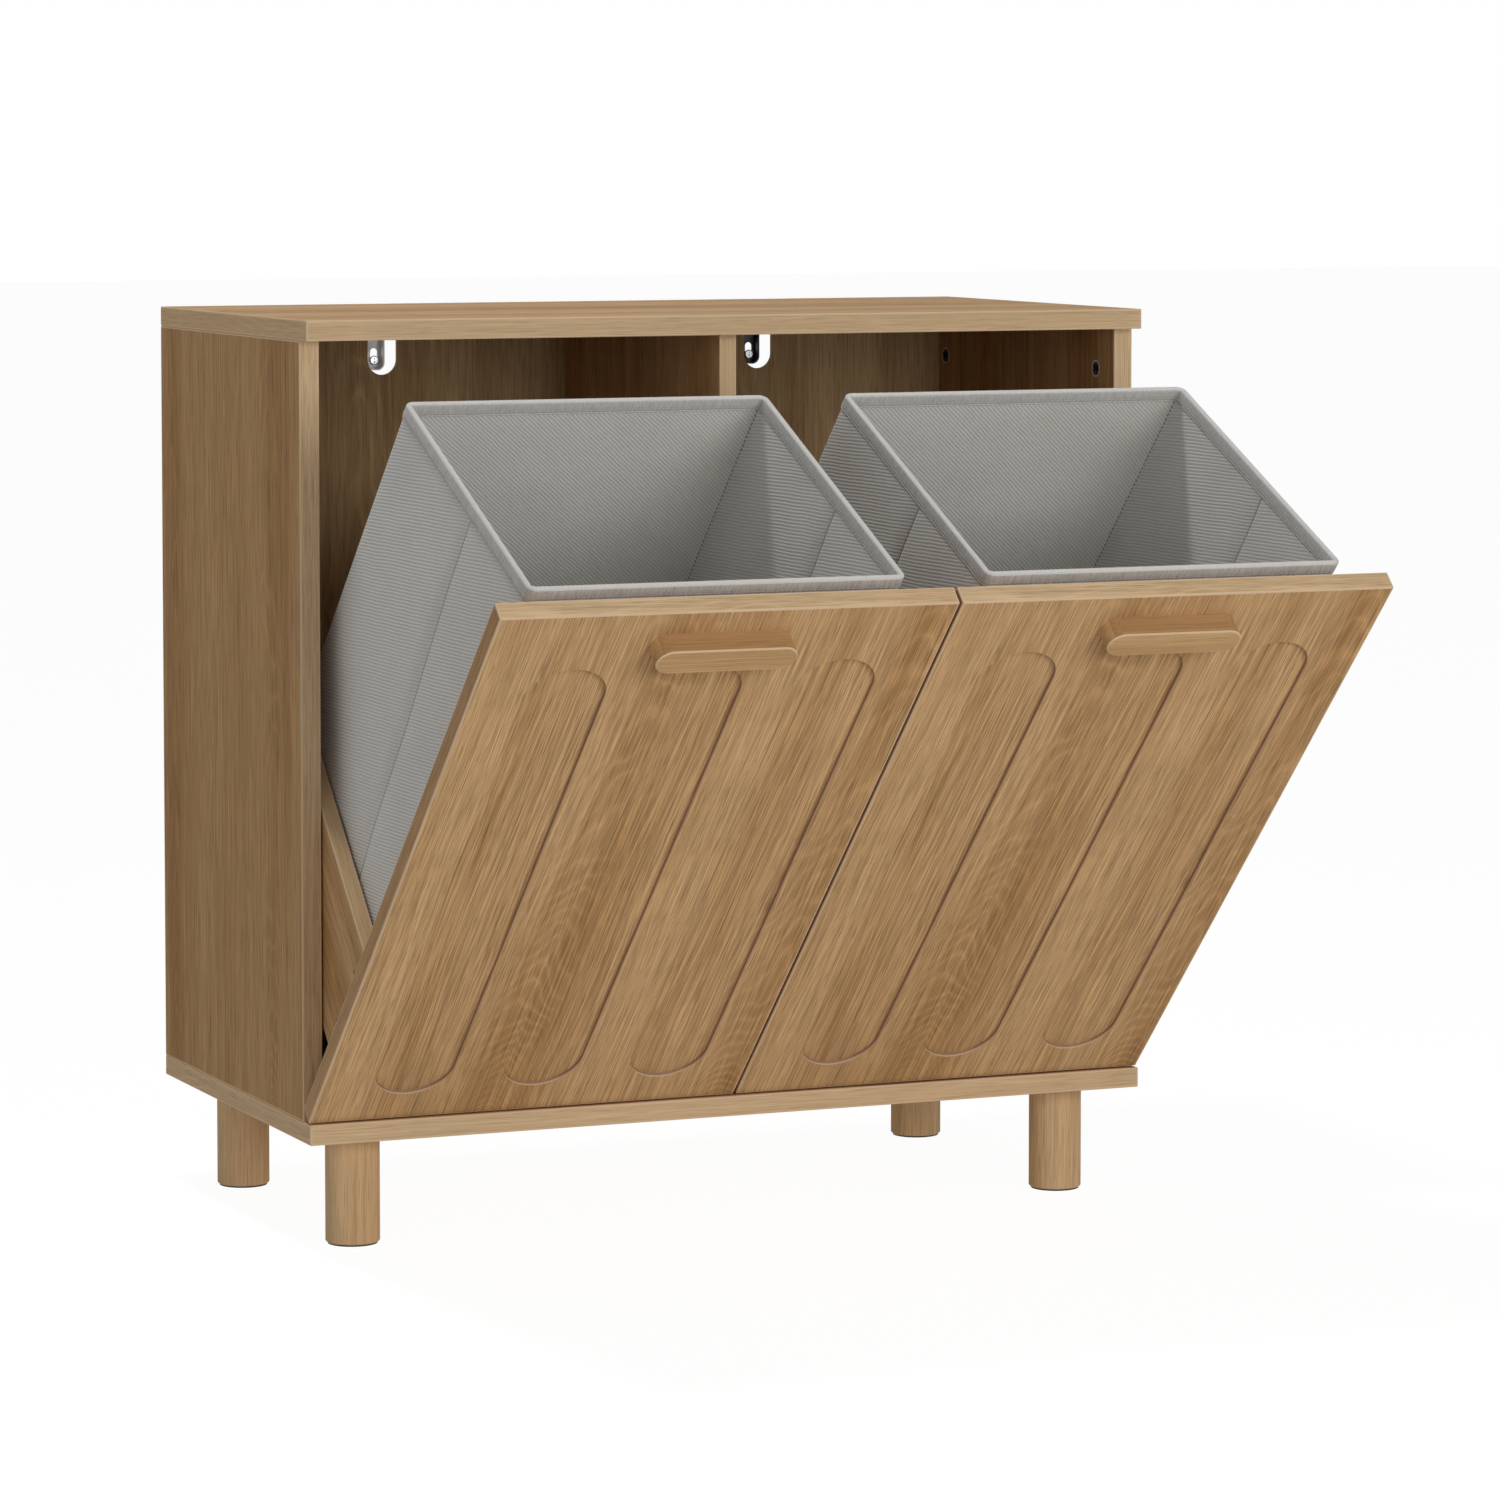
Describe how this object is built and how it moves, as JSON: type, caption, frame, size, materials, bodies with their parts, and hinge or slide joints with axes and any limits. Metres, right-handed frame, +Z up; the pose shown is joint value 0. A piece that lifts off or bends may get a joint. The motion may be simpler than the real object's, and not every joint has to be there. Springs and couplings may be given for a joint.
{
  "type": "bathroom laundry cabinet",
  "caption": "Free-standing laundry cabinet whose tilt-out doors each carry a wooden tray and an open fabric basket, on round legs, with wall brackets behind.",
  "frame": {"origin": "on the floor, under the middle of the carcass's width and depth", "axes": "+X to the cabinet's right as seen from the front, +Y from the front to the back, +Z up; at rest both doors lie open at 45 degrees"},
  "size_m": [0.8, 0.8874, 0.812],
  "materials": {
    "oak": "light oak faced board, satin, fine straight grain",
    "oak_inside": "oak faced board, matt, inside faces",
    "beech": "bare beech, fluted dowels",
    "pad": "black foot pad",
    "zinc": "bright zinc plating",
    "dark_metal": "dark finished metal",
    "basket_fabric": "warm grey woven fabric, finely ribbed, padded",
    "grey_board": "stiff board covered in the basket's grey fabric"
  },
  "bodies": {
    "cabinet": {"top_panel": "oak", "bottom_panel": "oak", "left_side_panel": "oak", "right_side_panel": "oak", "centre_divider": "oak", "back_panel": "oak_inside", "foot_front_left": "oak", "foot_front_right": "oak", "foot_back_left": "oak", "foot_back_right": "oak", "foot_pads": "pad", "foot_bolts": "zinc", "cam_locks": "zinc", "cam_bolts": "zinc", "dowels": "beech", "left_wall_bracket": "zinc", "right_wall_bracket": "dark_metal", "bracket_screws": "zinc", "wall_screws": "zinc", "hinge_arms": "zinc", "hinge_plate_screws": "zinc"},
    "left_unit": {"left_door": "oak", "left_handle": "oak", "left_handle_screws": "zinc", "left_tray_outer_side": "oak", "left_tray_inner_side": "oak", "left_tray_front": "oak_inside", "left_tray_back": "oak_inside", "left_tray_base": "oak_inside", "left_tray_cams": "dark_metal", "left_tray_bolts": "zinc", "left_tray_screws": "zinc", "left_basket": "basket_fabric", "left_basket_board": "grey_board", "left_hinge_leaves": "zinc", "left_hinge_pins": "zinc", "left_leaf_screws": "zinc"},
    "right_unit": {"right_door": "oak", "right_handle": "oak", "right_handle_screws": "zinc", "right_tray_outer_side": "oak", "right_tray_inner_side": "oak", "right_tray_front": "oak_inside", "right_tray_back": "oak_inside", "right_tray_base": "oak_inside", "right_tray_cams": "dark_metal", "right_tray_bolts": "zinc", "right_tray_screws": "zinc", "right_basket": "basket_fabric", "right_basket_board": "grey_board", "right_hinge_leaves": "zinc", "right_hinge_pins": "zinc", "right_leaf_screws": "zinc"}
  },
  "joints": [
    {"name": "left_door_hinge", "type": "hinge", "parent": "cabinet", "child": "left_unit", "pos_m": [-0.2007, -0.2037, 0.1244], "axis": [-1, 0, 0], "range_deg": [0, 45]},
    {"name": "right_door_hinge", "type": "hinge", "parent": "cabinet", "child": "right_unit", "pos_m": [0.2007, -0.2037, 0.1244], "axis": [-1, 0, 0], "range_deg": [0, 45]}
  ]
}
